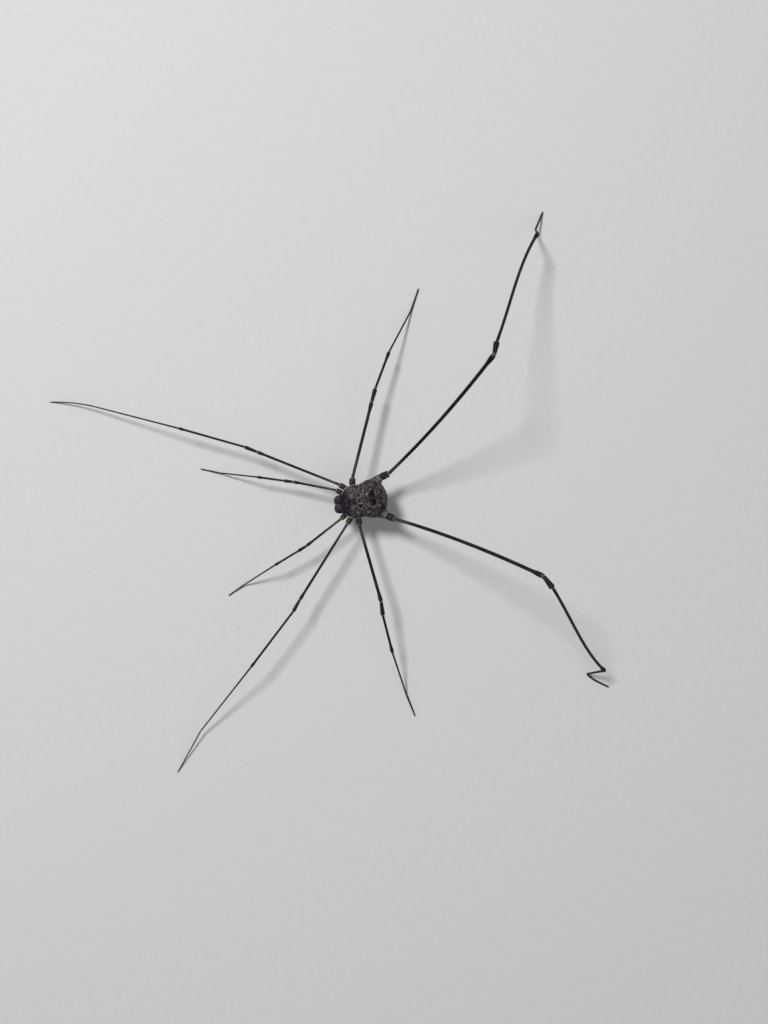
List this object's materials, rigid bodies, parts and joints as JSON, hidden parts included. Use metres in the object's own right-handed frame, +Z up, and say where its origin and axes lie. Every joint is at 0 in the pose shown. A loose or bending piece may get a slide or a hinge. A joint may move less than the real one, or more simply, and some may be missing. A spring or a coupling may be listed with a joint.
{
  "type": "harvestman",
  "caption": "Life-size still model of an armoured harvestman (Laniatores) standing flat with long thin legs spread wide and the hind knees raised high.",
  "frame": {"origin": "middle of the footprint, on the floor that the feet rest on", "axes": "+Z up from the floor; the animal faces about 10.6 degrees past -X, towards -Y"},
  "size_m": [0.0838, 0.084, 0.02],
  "materials": {
    "shield": "granular purple-grey cuticle with near-black spots",
    "underside": "granular grey-brown cuticle with pale joint rims",
    "eye": "glossy black lens",
    "mouthparts": "satin purple-black cuticle",
    "trochanters": "granular brown cuticle with a pale end ring",
    "legs": "satin brown-black cuticle, pale at the joints"
  },
  "bodies": {
    "root": {"scutum": "shield", "free_tergites": "shield", "venter_and_coxae": "underside", "ocularium": "shield", "eye_left": "eye", "eye_right": "eye", "chelicera_left": "mouthparts", "pedipalp_left": "mouthparts", "chelicera_right": "mouthparts", "pedipalp_right": "mouthparts", "leg_left_1_trochanter": "trochanters", "leg_left_1_femur": "legs", "leg_left_1_patella": "legs", "leg_left_1_tibia": "legs", "leg_left_1_metatarsus": "legs", "leg_left_1_tarsus": "legs", "leg_left_2_trochanter": "trochanters", "leg_left_2_femur": "legs", "leg_left_2_patella": "legs", "leg_left_2_tibia": "legs", "leg_left_2_metatarsus": "legs", "leg_left_2_tarsus": "legs", "leg_left_3_trochanter": "trochanters", "leg_left_3_femur": "legs", "leg_left_3_patella": "legs", "leg_left_3_tibia": "legs", "leg_left_3_metatarsus": "legs", "leg_left_3_tarsus": "legs", "leg_left_4_trochanter": "trochanters", "leg_left_4_femur": "legs", "leg_left_4_patella": "legs", "leg_left_4_tibia": "legs", "leg_left_4_metatarsus": "legs", "leg_left_4_tarsus": "legs", "leg_right_1_trochanter": "trochanters", "leg_right_1_femur": "legs", "leg_right_1_patella": "legs", "leg_right_1_tibia": "legs", "leg_right_1_metatarsus": "legs", "leg_right_1_tarsus": "legs", "leg_right_2_trochanter": "trochanters", "leg_right_2_femur": "legs", "leg_right_2_patella": "legs", "leg_right_2_tibia": "legs", "leg_right_2_metatarsus": "legs", "leg_right_2_tarsus": "legs", "leg_right_3_trochanter": "trochanters", "leg_right_3_femur": "legs", "leg_right_3_patella": "legs", "leg_right_3_tibia": "legs", "leg_right_3_metatarsus": "legs", "leg_right_3_tarsus": "legs", "leg_right_4_trochanter": "trochanters", "leg_right_4_femur": "legs", "leg_right_4_patella": "legs", "leg_right_4_tibia": "legs", "leg_right_4_metatarsus": "legs", "leg_right_4_tarsus": "legs"}
  },
  "joints": []
}
